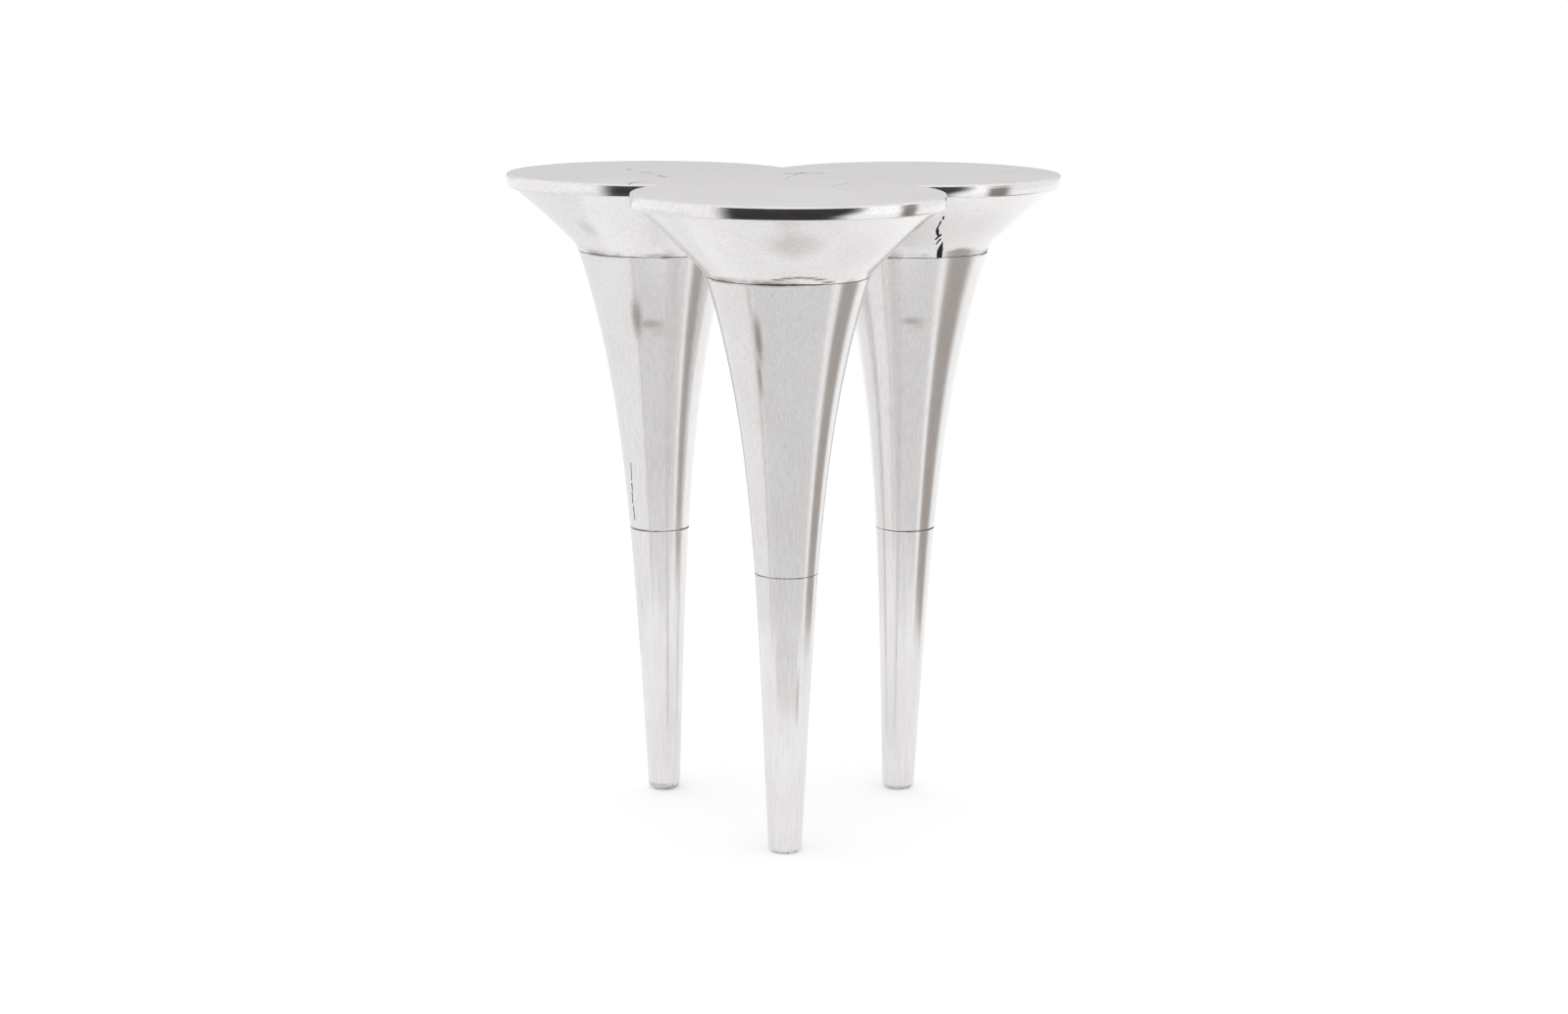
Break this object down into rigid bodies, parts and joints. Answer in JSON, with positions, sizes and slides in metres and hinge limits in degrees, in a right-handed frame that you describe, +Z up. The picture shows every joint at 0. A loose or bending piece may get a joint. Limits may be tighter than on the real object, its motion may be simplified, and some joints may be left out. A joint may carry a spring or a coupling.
{
  "type": "cluster bar table",
  "caption": "Tall table whose three round lobes join into one top, each lobe flaring from its own trumpet-shaped turned leg, finished all over in burnished silver leaf.",
  "frame": {"origin": "on the floor, at the centre of the table's outline seen from above", "axes": "+Z up; one leg towards -Y, the other two towards +Y, side by side along X"},
  "size_m": [0.929, 0.8704, 1.067],
  "materials": {
    "silver_leaf_top": "burnished silver leaf over wood, fine straight grain showing through",
    "silver_leaf_body": "burnished silver leaf over turned wood, near-mirror",
    "bare_wood": "bare turned hardwood",
    "plate_steel": "mill-finish steel",
    "zinc_steel": "zinc-plated steel",
    "glide_nylon": "black nylon"
  },
  "bodies": {
    "table": {"top_panel": "silver_leaf_top", "rod_nuts": "zinc_steel", "rod_washers": "zinc_steel", "foot_sleeves": "plate_steel", "flange_screws": "zinc_steel", "bell_dowels": "bare_wood", "bell_front": "silver_leaf_body", "upper_leg_front": "silver_leaf_body", "lower_leg_front": "silver_leaf_body", "bell_plug_front": "bare_wood", "waist_plug_front": "bare_wood", "top_flange_front": "plate_steel", "tie_rod_front": "zinc_steel", "bell_left": "silver_leaf_body", "upper_leg_left": "silver_leaf_body", "lower_leg_left": "silver_leaf_body", "bell_plug_left": "bare_wood", "waist_plug_left": "bare_wood", "top_flange_left": "plate_steel", "tie_rod_left": "zinc_steel", "bell_right": "silver_leaf_body", "upper_leg_right": "silver_leaf_body", "lower_leg_right": "silver_leaf_body", "bell_plug_right": "bare_wood", "waist_plug_right": "bare_wood", "top_flange_right": "plate_steel", "tie_rod_right": "zinc_steel"},
    "glide_front": {"glide_stem_front": "zinc_steel", "glide_pad_front": "glide_nylon"},
    "glide_left": {"glide_stem_left": "zinc_steel", "glide_pad_left": "glide_nylon"},
    "glide_right": {"glide_stem_right": "zinc_steel", "glide_pad_right": "glide_nylon"}
  },
  "joints": [
    {"name": "glide_front_screw", "type": "slide", "parent": "table", "child": "glide_front", "axis": [0, 0.0163, -0.9999], "range_m": [0, 0.01]},
    {"name": "glide_left_screw", "type": "slide", "parent": "table", "child": "glide_left", "axis": [0.0141, -0.0081, -0.9999], "range_m": [0, 0.01]},
    {"name": "glide_right_screw", "type": "slide", "parent": "table", "child": "glide_right", "axis": [-0.0141, -0.0081, -0.9999], "range_m": [0, 0.01]}
  ]
}
